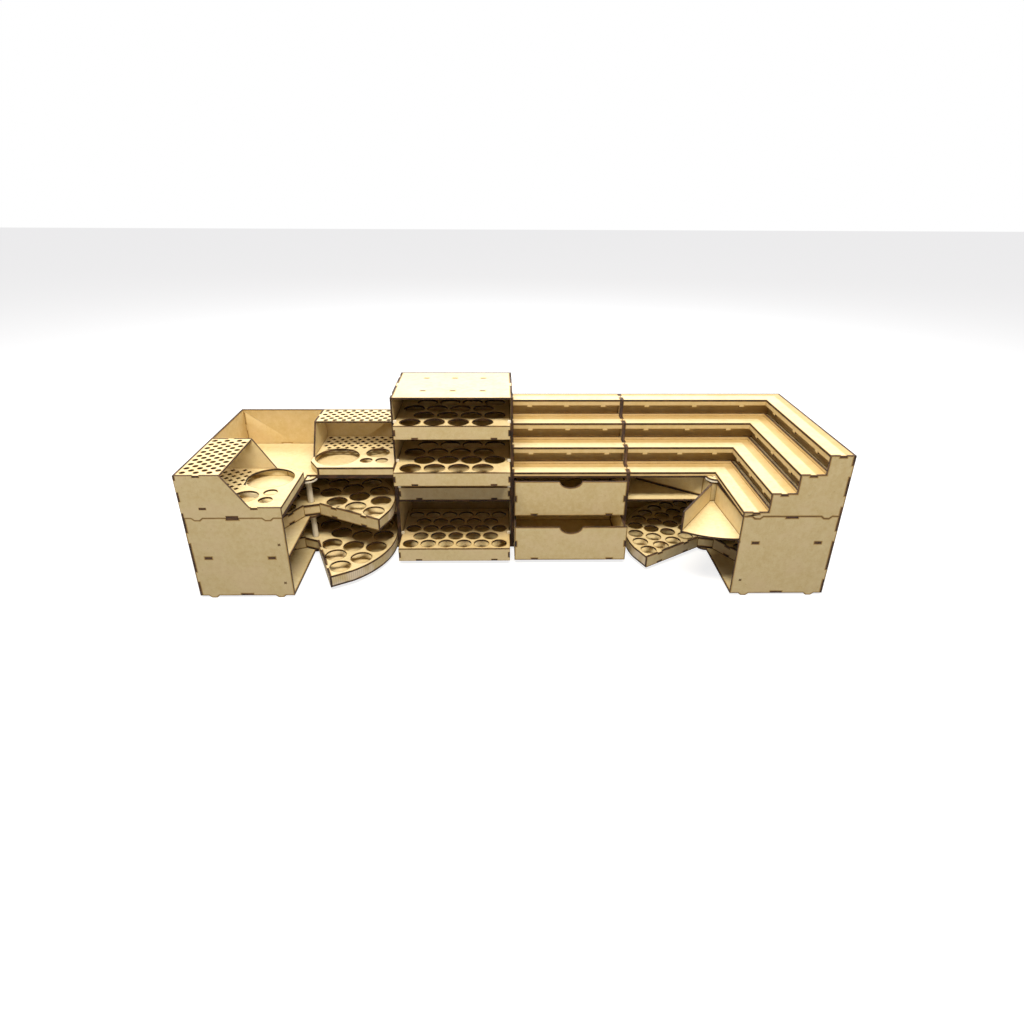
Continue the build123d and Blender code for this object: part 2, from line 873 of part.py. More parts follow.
with BuildPart() as step_treads:
    for number in range(treads):
        with BuildSketch(Plane.XY.offset(tread_top(number) - sheet)):
            straight_strip(number * tread_depth, tread_reach(number))
            middle = y_open + (number + 0.5) * tread_depth
            side_tabs(step_x, (middle,), narrow_tab)
            side_tabs(step_outer, (middle,), narrow_tab)
        extrude(amount=sheet)
save("step_treads", step_treads)

with BuildPart() as step_lips:
    shelf_strips(straight_strip)
    for number in range(1, treads):
        drop_z = tread_top(number) - sheet - lip_height - lip_tab_drop
        with BuildSketch(upright(y_open + number * tread_depth)):
            with Locations(((step_inner + step_outer) / 2, drop_z + lip_tab_drop / 2)):
                with GridLocations(straight_width / lip_tabs, 1, lip_tabs, 1):
                    Rectangle(narrow_tab, lip_tab_drop)
        extrude(amount=sheet)
save("step_lips", step_lips)

with BuildPart() as step_risers:
    for number in range(1, treads):
        with BuildSketch(Plane.XY.offset(tread_top(number - 1))):
            reach = number * tread_depth + riser_setback
            straight_strip(reach, reach + sheet)
        extrude(amount=tread_rise - sheet)
    with BuildSketch(upright(y_back - sheet)):
        block(step_x, stack_z, step_x + straight_width, stack_z + step_height)
        side_tabs(step_x, fingers(stack_z, step_height), corner_tab, Mode.SUBTRACT)
        side_tabs(step_outer, fingers(stack_z, step_height), corner_tab, Mode.SUBTRACT)
    extrude(amount=sheet)
save("step_risers", step_risers)

with BuildPart() as step_ends:
    for wall_x in (step_x, step_outer):
        with BuildSketch(Plane.YZ.offset(wall_x)):
            stair_end()
        extrude(amount=sheet)
save("step_ends", step_ends)


def corner_strip(front, back):
    ell(front, back, sheet)


with BuildPart() as corner_treads:
    for number in range(treads):
        with BuildSketch(Plane.XY.offset(tread_top(number) - sheet)):
            middle = y_open + (number + 0.5) * tread_depth
            side_tabs(x_inner - sheet, (middle,), narrow_tab)
            mirror(about=pivot_diagonal)
            corner_strip(number * tread_depth, tread_reach(number))
        extrude(amount=sheet)
save("corner_step_treads", corner_treads, side="right")

with BuildPart() as corner_lips:
    shelf_strips(corner_strip)
    for number in range(1, treads):
        drop_z = tread_top(number) - sheet - lip_height - lip_tab_drop
        front = number * tread_depth
        run = depth + front - sheet
        with BuildSketch(upright(y_open + front)):
            with Locations((x_inner - sheet - run / 2, drop_z + lip_tab_drop / 2)):
                with GridLocations(run / lip_tabs, 1, lip_tabs, 1):
                    Rectangle(narrow_tab, lip_tab_drop)
        extrude(amount=sheet)
        with BuildSketch(Plane.YZ.offset(px - front - sheet)):
            with Locations((y_front + sheet + run / 2, drop_z + lip_tab_drop / 2)):
                with GridLocations(run / lip_tabs, 1, lip_tabs, 1):
                    Rectangle(narrow_tab, lip_tab_drop)
        extrude(amount=sheet)
save("corner_step_lips", corner_lips, side="right")

with BuildPart() as corner_risers:
    for number in range(1, treads):
        with BuildSketch(Plane.XY.offset(tread_top(number - 1))):
            reach = number * tread_depth + riser_setback
            corner_strip(reach, reach + sheet)
        extrude(amount=tread_rise - sheet)
save(
    "corner_step_risers",
    corner_risers,
    corner_back(stack_z, step_height, ()),
    corner_side(stack_z, step_height, ()),
    side="right",
)

with BuildPart() as corner_ends:
    with BuildSketch(Plane.YZ.offset(x_inner - sheet)):
        stair_end()
    extrude(amount=sheet)
    mirror(about=pivot_diagonal)
save("corner_step_ends", corner_ends, side="right")
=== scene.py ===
import json
import math
import random
import bmesh
import bpy
from mathutils import Matrix, Vector


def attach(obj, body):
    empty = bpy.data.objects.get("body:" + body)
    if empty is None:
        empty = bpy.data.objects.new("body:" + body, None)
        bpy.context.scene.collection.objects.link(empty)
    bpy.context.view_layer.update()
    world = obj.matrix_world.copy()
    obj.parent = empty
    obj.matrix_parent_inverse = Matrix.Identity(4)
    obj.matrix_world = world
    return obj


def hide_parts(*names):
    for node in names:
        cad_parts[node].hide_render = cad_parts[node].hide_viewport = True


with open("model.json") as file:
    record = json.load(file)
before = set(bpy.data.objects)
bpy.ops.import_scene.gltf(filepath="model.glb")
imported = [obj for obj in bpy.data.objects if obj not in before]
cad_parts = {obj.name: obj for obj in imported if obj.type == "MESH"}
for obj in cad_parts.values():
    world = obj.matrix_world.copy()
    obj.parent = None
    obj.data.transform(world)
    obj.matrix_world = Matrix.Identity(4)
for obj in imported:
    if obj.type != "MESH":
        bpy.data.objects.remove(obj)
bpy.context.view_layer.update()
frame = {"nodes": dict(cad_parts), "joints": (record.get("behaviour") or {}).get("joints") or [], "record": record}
bodies = frame["record"]["behaviour"]["bodies"]
bodyOf = {node: body for body, members in bodies.items() for node in members}
hinges = [joint for joint in frame["joints"] if joint["type"] == "hinge"]
pivots = {joint["child"]: Vector(joint["pos_m"]).xy for joint in hinges}


# shader maths: expressions on wires add their Math nodes
class Wire:
    def __init__(self, wiring, socket):
        self.wiring = wiring
        self.socket = socket

    def join(self, operation, first, second):
        return self.wiring.add("ShaderNodeMath", {"operation": operation}, {0: first, 1: second})

    def __add__(self, other):
        return self.join("ADD", self, other)

    def __sub__(self, other):
        return self.join("SUBTRACT", self, other)

    def __mul__(self, other):
        return self.join("MULTIPLY", self, other)

    def __pow__(self, other):
        return self.join("POWER", self, other)

    def __rsub__(self, other):
        return self.join("SUBTRACT", other, self)

    __radd__ = __add__
    __rmul__ = __mul__


class Wiring:  # one node tree, of a material or of the world
    def __init__(self, tree):
        self.tree = tree

    def feed(self, socket, value):
        if isinstance(value, Wire):
            self.tree.links.new(value.socket, socket)
        else:
            socket.default_value = value

    def add(self, kind, settings, inputs, output=0):
        node = self.tree.nodes.new(kind)
        for key, value in settings.items():
            setattr(node, key, value)
        for key, value in inputs.items():
            self.feed(node.inputs[key], value)
        return Wire(self, node.outputs[output])

    def ray(self, kind):  # 1 for light that arrives in this way, and 0 for the rest
        return self.add("ShaderNodeLightPath", {}, {}, kind)

    def blend(self, share, first, second):
        settings = {"data_type": "RGBA", "blend_type": "MIX", "clamp_factor": True}
        return self.add("ShaderNodeMix", settings, {0: share, 6: first, 7: second}, 2)


toneShift = (3.1, 1.7, 2.3)  # a full step of tone moves a sheet's pattern on by so many metres


class Finish(Wiring):
    def __init__(self, name):
        self.material = bpy.data.materials.new(name)
        self.material.use_nodes = True
        super().__init__(self.material.node_tree)
        self.shader = self.tree.nodes["Principled BSDF"]

    def place(self):  # object coordinates, moved on by each sheet's own tone
        here = self.add("ShaderNodeTexCoord", {}, {}, "Object")
        tone = self.attribute("tone")
        shifts = {axis: tone * shift for axis, shift in enumerate(toneShift)}
        step = self.add("ShaderNodeCombineXYZ", {}, shifts)
        return self.add("ShaderNodeVectorMath", {"operation": "ADD"}, {0: here, 1: step})

    def spot(self, *axes):  # object coordinates as single numbers
        here = self.add("ShaderNodeTexCoord", {}, {}, "Object")
        return [self.add("ShaderNodeSeparateXYZ", {}, {0: here}, axis) for axis in axes]

    def attribute(self, name):
        return self.add("ShaderNodeAttribute", {"attribute_name": name}, {}, "Fac")

    def noise(self, place, scale, detail=2.0, roughness=0.5):
        values = {"Vector": place, "Scale": scale, "Detail": detail, "Roughness": roughness}
        return self.add("ShaderNodeTexNoise", {}, values)

    def band(self, value, low, high):  # smooth step from 0 to 1
        settings = {"interpolation_type": "SMOOTHSTEP"}
        return self.add("ShaderNodeMapRange", settings, {0: value, 1: low, 2: high})

    def wash(self, value, limits, most, colour, over):  # a second colour as a value rises
        return self.blend(self.band(value, *limits) * most, colour, over)

    def stretch(self, place, sizes):
        return self.add("ShaderNodeVectorMath", {"operation": "MULTIPLY"}, {0: place, 1: sizes})

    def bump(self, height, strength, distance):
        inputs = {"Strength": strength, "Distance": distance, "Height": height}
        return self.add("ShaderNodeBump", {}, inputs)

    def surface(self, **values):
        for key, value in values.items():
            self.feed(self.shader.inputs[key.replace("_", " ")], value)
        return self.material


boardFinish = {
    "light": (0.74, 0.625, 0.365, 1.0),
    "dark": (0.61, 0.47, 0.225, 1.0),
    "blush": (0.70, 0.54, 0.33, 1.0),  # a faint pink cast in broad patches
    "fleck": (0.36, 0.25, 0.10, 1.0),
    "halo": (0.42, 0.245, 0.055, 1.0),  # golden stain beside a cut, and the colour of the painted shade on treads, risers and rack walls
    "smoke": (0.070, 0.032, 0.012, 1.0),  # dark line along a cut, reached a little by the painted shade on treads and risers
    "cloud": {"scale": 22.0, "detail": 3.0},  # a scale is in blotches for each metre
    "mottle": {"scale": 130.0, "detail": 3.0, "roughness": 0.6},
    "fibre": {"scale": 700.0, "detail": 3.0, "roughness": 0.65},
    "flecks": {"scale": 330.0, "roughness": 0.6},
    "ragged": {"scale": 70.0},  # where the smoke is thick and where thin
    "polish": {"scale": 60.0},
    "cloudShare": 0.25,  # what each pattern adds to the mix of light and dark
    "mottleShare": 0.45,
    "fibreShare": 0.30,
    "toneShare": 0.12,
    "mixLimits": (0.28, 0.74),
    "blushLimits": (0.45, 0.70),
    "blushMost": 0.4,
    "fleckLimits": (0.64, 0.76),
    "fleckMost": 0.4,
    "raggedLeast": 0.75,
    "raggedSpan": 0.5,
    "haloLimits": (0.05, 0.62),  # smoke from the first value on begins to stain; the same wash paints the shade on treads, risers and rack walls
    "haloMost": 0.8,
    "charLimits": (0.52, 0.95),
    "charMost": 0.9,
    "rough": 0.46,
    "roughPolish": 0.22,
    "roughChar": 0.2,
    "bump": (0.25, 0.0002),  # strength, and height in metres
}


def boardPattern(finish, stain=None):
    place = finish.place()
    cloud = finish.noise(place, **boardFinish["cloud"])
    mottle = finish.noise(place, **boardFinish["mottle"])
    fibre = finish.noise(place, **boardFinish["fibre"])
    flecks = finish.noise(place, **boardFinish["flecks"])
    tone = finish.attribute("tone")
    mixed = cloud * boardFinish["cloudShare"] + mottle * boardFinish["mottleShare"]
    mixed = mixed + fibre * boardFinish["fibreShare"] + tone * boardFinish["toneShare"]
    share = finish.band(mixed, *boardFinish["mixLimits"])
    colour = finish.blend(share, boardFinish["dark"], boardFinish["light"])
    colour = finish.wash(
        cloud, boardFinish["blushLimits"], boardFinish["blushMost"], colour, boardFinish["blush"])
    colour = finish.wash(
        flecks, boardFinish["fleckLimits"], boardFinish["fleckMost"], colour, boardFinish["fleck"])
    ragged = finish.noise(place, **boardFinish["ragged"])
    ragged = ragged * boardFinish["raggedSpan"] + boardFinish["raggedLeast"]
    smoke = finish.attribute("smoke") * ragged
    # added marks: burnt crosses on the cabinet ends, and painted shade on the back part of each tread
    if stain:
        smoke = smoke.join("MAXIMUM", smoke, stain * ragged)
    colour = finish.wash(
        smoke, boardFinish["haloLimits"], boardFinish["haloMost"], colour, boardFinish["halo"])
    char = finish.band(smoke, *boardFinish["charLimits"])
    colour = finish.blend(char * boardFinish["charMost"], colour, boardFinish["smoke"])
    return place, colour, fibre, char


def boardSurface(finish, pattern):
    place, colour, fibre, char = pattern
    normal = finish.bump(fibre, *boardFinish["bump"])
    polish = finish.noise(place, **boardFinish["polish"]) * boardFinish["roughPolish"]
    rough = polish + boardFinish["rough"] + char * boardFinish["roughChar"]
    return finish.surface(Base_Color=colour, Roughness=rough, Normal=normal)


def makeBoard():
    finish = Finish("boardFace")
    return boardSurface(finish, boardPattern(finish))


treadFinish = {
    "pitch": 0.0375,  # from one tread's front edge to the next
    "front": 0.0,  # the first tread's edge, and the same edge on the side arm
    "sideFront": 0.350,
    "from": 0.50,  # the share of a tread's depth left without painted shade
    "fade": 0.16,
    # how dark the painted shade at the back of a tread grows
    "stain": 0.48,
}


def makeTread():  # painted shade on the back part of every tread, where the tread above shades it
    finish = Finish("treadFace")
    along, back = finish.spot("X", "Y")
    side = along - treadFinish["sideFront"]
    depth = side.join("MAXIMUM", side, back - treadFinish["front"]) * (1 / treadFinish["pitch"])
    part = depth.join("FRACT", depth, 0.0)
    # painted shade: the back part of each tread is darkened
    paintedShade = finish.band(part, treadFinish["from"], treadFinish["from"] + treadFinish["fade"])
    return boardSurface(finish, boardPattern(finish, paintedShade * treadFinish["stain"]))


markFinish = {
    "spots": ((-0.3617, 0.0969), (-0.3618, 0.0272), (0.3500, 0.0994), (0.3630, 0.0291)),
    "arm": 0.0008,  # half an arm's width
    "armFade": 2.0,
    "reach": 0.0034,
    "reachFade": 1.3,
    "front": -0.145,  # only in front of this are there marks
    "frontFade": 0.01,
}


def makeMarked():  # a small burnt cross near each front corner of a cabinet's end
    finish = Finish("markedBoard")
    along, back, up = finish.spot("X", "Y", "Z")
    arm, reach = markFinish["arm"], markFinish["reach"]
    armLimits = (arm ** 2, (markFinish["armFade"] * arm) ** 2)
    reachLimits = (reach ** 2, (markFinish["reachFade"] * reach) ** 2)
    marks = 0.0
    for across, height in markFinish["spots"]:
        left = along - across + up - height
        right = along - across - up + height
        slim = left.join("MINIMUM", left ** 2.0, right ** 2.0)
        wide = left.join("MAXIMUM", left ** 2.0, right ** 2.0)
        bar = 1 - finish.band(slim, *armLimits)
        marks = marks + bar * (1 - finish.band(wide, *reachLimits))
    edge = markFinish["front"]
    front = 1 - finish.band(back, edge, edge + markFinish["frontFade"])
    return boardSurface(finish, boardPattern(finish, marks * front))


kerfFinish = {
    "pitch": 0.0037,  # from one cut to the next
    "radius": 0.1445,
    "width": 0.16,
    "bare": (0.86, 0.74, 0.58, 1.0),
    "patch": {"scale": 42.0, "detail": 1.0},
    "patchLimits": (0.42, 0.62),
    "patchMost": 0.75,
    "cutMost": 0.28,
    "rough": 0.62,
    "roughFibre": 0.1,
    "bump": (0.4, 0.0003),
}


def makeKerfed():  # the bent wall's cuts let it curve, so they run as fine upright lines
    finish = Finish("kerfBentBoard")
    place, colour, fibre, char = boardPattern(finish)
    turn = finish.attribute("turn") * (2 * math.pi * kerfFinish["radius"] / kerfFinish["pitch"])
    wave = finish.add("ShaderNodeMath", {"operation": "SINE"}, {0: turn}) * 0.5 + 0.5
    cut = finish.band(wave, 1 - kerfFinish["width"], 1.0)
    patch = finish.noise(place, **kerfFinish["patch"])
    colour = finish.wash(
        patch, kerfFinish["patchLimits"], kerfFinish["patchMost"], colour, kerfFinish["bare"])
    colour = finish.blend(cut * kerfFinish["cutMost"], colour, boardFinish["smoke"])
    normal = finish.bump(1 - cut, *kerfFinish["bump"])
    rough = kerfFinish["rough"] + fibre * kerfFinish["roughFibre"]
    return finish.surface(Base_Color=colour, Roughness=rough, Normal=normal)


charFinish = {
    "deep": (0.016, 0.0075, 0.0040, 1.0),
    "warm": (0.110, 0.048, 0.016, 1.0),
    "streak": {"scale": 900.0, "roughness": 0.7},
    "patch": {"scale": 70.0, "detail": 3.0},
    "streakShare": 0.5,
    "patchShare": 0.5,
    "mixLimits": (0.42, 0.66),
    "rough": 0.92,
    "roughWarm": 0.2,
    "bump": (0.4, 0.0003),
}


def makeChar():
    finish = Finish("charredEdge")
    place = finish.place()
    streak = finish.noise(place, **charFinish["streak"])
    patch = finish.noise(place, **charFinish["patch"])
    mixed = streak * charFinish["streakShare"] + patch * charFinish["patchShare"]
    share = finish.band(mixed, *charFinish["mixLimits"])
    colour = finish.blend(share, charFinish["deep"], charFinish["warm"])
    normal = finish.bump(streak, *charFinish["bump"])
    rough = charFinish["rough"] - share * charFinish["roughWarm"]
    return finish.surface(Base_Color=colour, Roughness=rough, Normal=normal)


postFinish = {
    "light": (0.90, 0.86, 0.74, 1.0),
    "dark": (0.70, 0.62, 0.45, 1.0),
    "grainScale": (420.0, 420.0, 24.0),  # long upright fibres
    "broadScale": (60.0, 60.0, 8.0),
    "grain": {"scale": 1.0, "detail": 3.0, "roughness": 0.6},
    "broad": {"scale": 1.0},
    "grainShare": 0.6,
    "broadShare": 0.4,
    "mixLimits": (0.34, 0.64),
    "rough": 0.5,
    "roughGrain": 0.15,
    "bump": (0.3, 0.0002),
}


def makePost():
    finish = Finish("paleWood")
    place = finish.place()
    grain = finish.noise(finish.stretch(place, postFinish["grainScale"]), **postFinish["grain"])
    broad = finish.noise(finish.stretch(place, postFinish["broadScale"]), **postFinish["broad"])
    mixed = grain * postFinish["grainShare"] + broad * postFinish["broadShare"]
    share = finish.band(mixed, *postFinish["mixLimits"])
    colour = finish.blend(share, postFinish["dark"], postFinish["light"])
    normal = finish.bump(grain, *postFinish["bump"])
    rough = postFinish["rough"] + grain * postFinish["roughGrain"]
    return finish.surface(Base_Color=colour, Roughness=rough, Normal=normal)


boardFace = makeBoard()
kerfedFace = makeKerfed()
treadFace = makeTread()
markedBoard = makeMarked()
charredEdge = makeChar()
paleWood = makePost()
print("materials made")


# dressing: each sheet of a node is welded, rounded and faced again with a smoke line along its cuts
sheetStock = {
    "thickness": 0.003,
    "weld": 1e-6,  # corners that round to the same spot in this step are one corner
    "merge": 2e-6,
    "digits": 3,  # to which a side's direction is read
    "flat": 0.999,  # a face turned this closely to the sheet's own side is board, not cut edge
    "sheetShare": 0.55,  # a sheet's two sides hold this share of its area or more
    "smoothAngle": 24.0,
    "upright": 0.5,  # a face stands along an axis when its normal has less than this of it
    "sameWall": 0.99999,  # two triangles turned this closely alike are one wall
    "sameArea": 1.02,  # a hole's walls are equal to within this factor
    "level": 1e-5,  # the rise of a level edge, at most
    "onRadius": 2e-5,  # how near to its radius an outline's corner lies
    "wide": 1.25,  # a bent piece's board face is wider than so many thicknesses
}


def closedShells(mesh):  # a node's triangles come one closed solid after another
    shells = []
    loose = {}
    faces = []
    for polygon in mesh.polygons:
        faces.append(polygon.index)
        corners = [mesh.vertices[v].co for v in polygon.vertices]
        spots = [tuple(round(c / sheetStock["weld"]) for c in corner) for corner in corners]
        for start, end in zip(spots, spots[1:] + spots[:1]):
            if loose.get((end, start)):
                loose[end, start] -= 1
                if not loose[end, start]:
                    del loose[end, start]
            else:
                loose[start, end] = loose.get((start, end), 0) + 1
        if not loose:
            shells.append(faces)
            faces = []
    return shells


class Sheet:  # one closed solid of a node, found again by its faces' tag after every change
    def __init__(self, bm, tag, number):
        self.bm = bm
        self.tag = tag
        self.number = number

    def faces(self):
        return [face for face in self.bm.faces if face[self.tag] == self.number]

    def walls(self, axis):
        upright = sheetStock["upright"]
        return [face for face in self.faces() if abs(face.normal.dot(axis)) < upright]


def splitSheets(node):
    bm = bmesh.new()
    mesh = frame["nodes"][node].data
    bm.from_mesh(mesh)
    bm.faces.ensure_lookup_table()
    tag = bm.faces.layers.int.new("sheet")
    shells = closedShells(mesh)
    corners = []
    for number, shell in enumerate(shells):
        for index in shell:
            bm.faces[index][tag] = number
        corners.append({v for index in shell for v in bm.faces[index].verts})
    for group in corners:
        bmesh.ops.remove_doubles(bm, verts=list(group), dist=sheetStock["merge"])
    return bm, [Sheet(bm, tag, number) for number in range(len(shells))]


def sheetNormal(faces):  # the direction of a sheet's two sides, or None for a bent or solid piece
    area = {}
    for face in faces:
        sign = 1 if tuple(face.normal) > (0, 0, 0) else -1
        key = tuple(round(c * sign, sheetStock["digits"]) + 0.0 for c in face.normal)
        area[key] = area.get(key, 0) + face.calc_area()
    folded = {}
    for key, value in area.items():
        other = tuple(-c + 0.0 for c in key)
        home = other if other in folded else key
        folded[home] = folded.get(home, 0) + value
    best = max(folded, key=folded.get)
    share = folded[best] / sum(folded.values())
    return Vector(best).normalized() if share > sheetStock["sheetShare"] else None


def isLevel(edge, axis):
    run = edge.verts[1].co - edge.verts[0].co
    return abs(run.dot(axis)) < sheetStock["level"]


def joinWalls(bm, walls):  # two triangles of one flat wall become one face
    kept = set(walls)
    seams = []
    for edge in {e for face in walls for e in face.edges}:
        pair = edge.link_faces
        if len(pair) == 2 and pair[0] in kept and pair[1] in kept:
            if pair[0].normal.dot(pair[1].normal) > sheetStock["sameWall"]:
                seams.append(edge)
    bmesh.ops.dissolve_edges(bm, edges=seams, use_verts=False)


def curveEdges(bm, edges, centre, axis, cuts):  # chords become arcs about an axis
    radius = {}
    for edge in edges:
        arm = edge.verts[0].co - centre
        radius[edge] = (arm - arm.dot(axis) * axis).length
    size = sum(radius.values()) / len(radius)
    made = bmesh.ops.subdivide_edges(bm, edges=edges, cuts=cuts)
    for vert in {v for v in made["geom_inner"] if isinstance(v, bmesh.types.BMVert)}:
        arm = vert.co - centre
        up = arm.dot(axis) * axis
        vert.co = centre + up + (arm - up).normalized() * size


def ringsOf(walls, axis):  # closed rings of equal flat walls: the few-sided holes
    left = set(walls)
    rings = []
    while left:
        ring = [left.pop()]
        for face in ring:
            for edge in face.edges:
                if not isLevel(edge, axis):
                    for other in edge.link_faces:
                        if other in left:
                            left.remove(other)
                            ring.append(other)
        rings.append(ring)
    return rings


def roundHoles(bm, walls, axis, cuts):
    for ring in ringsOf(walls, axis):
        areas = [face.calc_area() for face in ring]
        if len(ring) in cuts and max(areas) < sheetStock["sameArea"] * min(areas):
            spots = {v for face in ring for v in face.verts}
            centre = sum((v.co for v in spots), Vector()) / len(spots)
            edges = [e for face in ring for e in face.edges if isLevel(e, axis)]
            curveEdges(bm, list(set(edges)), centre, axis, cuts[len(ring)])


def roundTurn(bm, faces, pivot, radii, cuts):  # outlines that swing about a pivot
    up = Vector((0, 0, 1))
    centre = Vector((*pivot, 0))
    for radius in radii:
        edges = set()
        for edge in {e for face in faces if face.is_valid for e in face.edges}:
            reach = [(v.co.xy - pivot).length for v in edge.verts]
            off = max(abs(r - radius) for r in reach)
            if isLevel(edge, up) and off < sheetStock["onRadius"]:
                edges.add(edge)
        if edges:
            curveEdges(bm, list(edges), centre, up, cuts)


def smokeRing(bm, faces, width, smoke, share):  # a ring of its own width along every cut
    made = bmesh.ops.inset_region(
        bm, faces=faces, thickness=width, use_boundary=True, use_even_offset=True)["faces"]
    for face in faces:
        for vert in face.verts:
            vert[smoke] = share
    return made


def wideFace(face):  # board on a bent or angled piece, told from its narrow cut edges
    spots = [v.co for v in face.verts]
    tall = max(p.z for p in spots) - min(p.z for p in spots)
    across = max((a.xy - b.xy).length for a in spots for b in spots)
    limit = sheetStock["thickness"] * sheetStock["wide"]
    return abs(face.normal.z) < sheetStock["upright"] and min(tall, across) > limit


def dressFaces(sheet, isBoard, look, smoke):
    board = [face for face in sheet.faces() if isBoard(face)]
    for face in sheet.faces():
        face.material_index = 1
    for face in board:
        face.material_index = 0
    for width, share in look["rings"]:
        for face in smokeRing(sheet.bm, board, width, smoke, share):
            face.material_index = 0


def dressFlat(sheet, axis, look, pivot, smoke):
    joinWalls(sheet.bm, sheet.walls(axis))
    roundHoles(sheet.bm, sheet.walls(axis), axis, look.get("holes", {}))
    if "turns" in look:
        roundTurn(sheet.bm, sheet.walls(axis), pivot, look["turns"], look["cuts"])
    for face in sheet.faces():
        face.normal_update()
    dressFaces(sheet, lambda face: abs(face.normal.dot(axis)) > sheetStock["flat"], look, smoke)


def dressBent(sheet, look, pivot, smoke):
    joinWalls(sheet.bm, sheet.faces())
    if "turns" in look:
        roundTurn(sheet.bm, sheet.faces(), pivot, look["turns"], look["cuts"])
    dressFaces(sheet, wideFace, look, smoke)


def dressNode(node, look):
    bm, sheets = splitSheets(node)
    smoke = bm.verts.layers.float.new("smoke")
    tone = bm.verts.layers.float.new("tone")
    turn = bm.verts.layers.float.new("turn")
    pivot = pivots.get(bodyOf[node])
    for vert in bm.verts:
        vert[smoke] = 1.0
    drawn = random.Random(node)
    for sheet in sheets:
        if not look.get("solid"):
            axis = sheetNormal(sheet.faces())
            if axis:
                dressFlat(sheet, axis, look, pivot, smoke)
            else:
                dressBent(sheet, look, pivot, smoke)
        shade = look["tone"] + drawn.uniform(-1, 1) * look["spread"]
        for face in sheet.faces():
            for vert in face.verts:
                vert[tone] = shade
    if pivot:
        for vert in bm.verts:
            arm = vert.co.xy - pivot
            vert[turn] = math.atan2(arm.y, arm.x)
    for face in bm.faces:
        face.smooth = True
    return bm


def finishPiece(node, bm, look):
    words = node.split("_")
    name = words[0] + "".join(word.capitalize() for word in words[1:])
    mesh = bpy.data.meshes.new(name)
    bm.to_mesh(mesh)
    bm.free()
    for material in look["materials"]:
        mesh.materials.append(material)
    mesh.set_sharp_from_angle(angle=math.radians(sheetStock["smoothAngle"]))
    piece = bpy.data.objects.new(name, mesh)
    bpy.context.scene.collection.objects.link(piece)
    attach(piece, bodyOf[node])
    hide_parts(node)
    return piece


def dress(look):
    for node in look["nodes"]:
        finishPiece(node, dressNode(node, look), look)
    print("dressed", look["nodes"][0], "and", len(look["nodes"]) - 1, "more")


def named(starts, ends="", without=()):
    nodes = [node for node in sorted(bodyOf) if node.startswith(starts) and node.endswith(ends)]
    return [node for node in nodes if node not in without]


plainBoard = (boardFace, charredEdge)
swingRadius = kerfFinish["radius"]

# each ring's width and the smoke left at its inner side
panelRings = ((0.0010, 0.72), (0.0019, 0.0))
rimRings = ((0.0007, 0.3), (0.0012, 0.0))
holedRings = ((0.0006, 0.45), (0.0009, 0.06))
stainedRings = ((0.0006, 0.50), (0.0009, 0.24))  # close holes leave the whole plate golden
# risers keep half smoke over their whole face: painted shade in the recess under each tread
recessShadeRings = ((0.0010, 0.70), (0.0019, 0.50))
# the rack walls keep some smoke over their whole face: painted shade
wallShadeRings = ((0.0010, 0.72), (0.0019, 0.30))
baseRings = ((0.0010, 0.72), (0.0019, 0.13))
frontLipRings = ((0.0008, 0.45), (0.0012, 0.26))
treadRings = ((0.0009, 0.60), (0.0018, 0.0))

cabinets = {
    "nodes": named(("left_cabinet", "right_cabinet"), ("_decks", "_walls")),
    "tone": 0.0,
    "spread": 0.5,
    "rings": panelRings,
    "materials": plainBoard,
}
dress(cabinets)

cabinetEnds = {
    "nodes": ["left_cabinet_ends", "right_cabinet_ends"],
    "tone": 0.0,
    "spread": 0.3,
    "rings": panelRings,
    "materials": (markedBoard, charredEdge),
}
dress(cabinetEnds)

swivels = ("left_low_swivel", "left_high_swivel", "right_low_swivel", "right_high_swivel")

swivelFloors = {
    "nodes": named(swivels, ("_floor", "_plate")),
    "tone": 0.1,
    "spread": 0.4,
    "rings": holedRings,
    "holes": {8: 3},  # an eight-sided hole gets three cuts in each side
    "turns": (swingRadius,),  # outlines on this radius are round about the pivot
    "cuts": 5,  # in each of their sides
    "materials": plainBoard,
}
dress(swivelFloors)

swivelWalls = {
    "nodes": named(swivels, ("_walls", "_dividers", "_hub")),
    "tone": 0.1,
    "spread": 0.4,
    "rings": panelRings,
    "materials": plainBoard,
}
dress(swivelWalls)

swivelRims = {
    "nodes": named(swivels, "_rim"),
    "tone": 0.25,
    "spread": 0.3,
    "rings": rimRings,
    "turns": (swingRadius, swingRadius - sheetStock["thickness"]),
    "cuts": 5,
    "materials": (kerfedFace, charredEdge),
}
dress(swivelRims)

posts = {
    "nodes": named(("left_pivot_post", "right_pivot_post", "tray_stop_pegs")),
    "tone": 0.0,
    "spread": 0.5,
    "solid": True,
    "slot": "post",
    "materials": (paleWood,),
}
dress(posts)

tower = {
    "nodes": named("tower_"),
    "tone": 0.05,
    "spread": 0.4,
    "rings": panelRings,
    "materials": plainBoard,
}
dress(tower)

pullTrays = {
    "nodes": named(("low_tray", "middle_tray", "high_tray", "top_tray"), without=("low_tray_plate",)),
    "tone": 0.0,
    "spread": 0.5,
    "rings": holedRings,
    "holes": {8: 3},
    "materials": plainBoard,
}
dress(pullTrays)

lowPlate = {
    "nodes": ["low_tray_plate"],
    "tone": -0.3,
    "spread": 0.0,
    "rings": stainedRings,
    "holes": {8: 3},
    "materials": plainBoard,
}
dress(lowPlate)

drawers = {
    "nodes": named(("drawer_case", "low_drawer", "high_drawer")),
    "tone": 0.0,
    "spread": 0.5,
    "rings": panelRings,
    "materials": plainBoard,
}
dress(drawers)

rack = {
    "nodes": named("rack_", without=("rack_walls", "rack_base")),
    "tone": 0.1,
    "spread": 0.4,
    "rings": holedRings,
    "holes": {6: 2, 20: 2},
    "materials": plainBoard,
}
dress(rack)

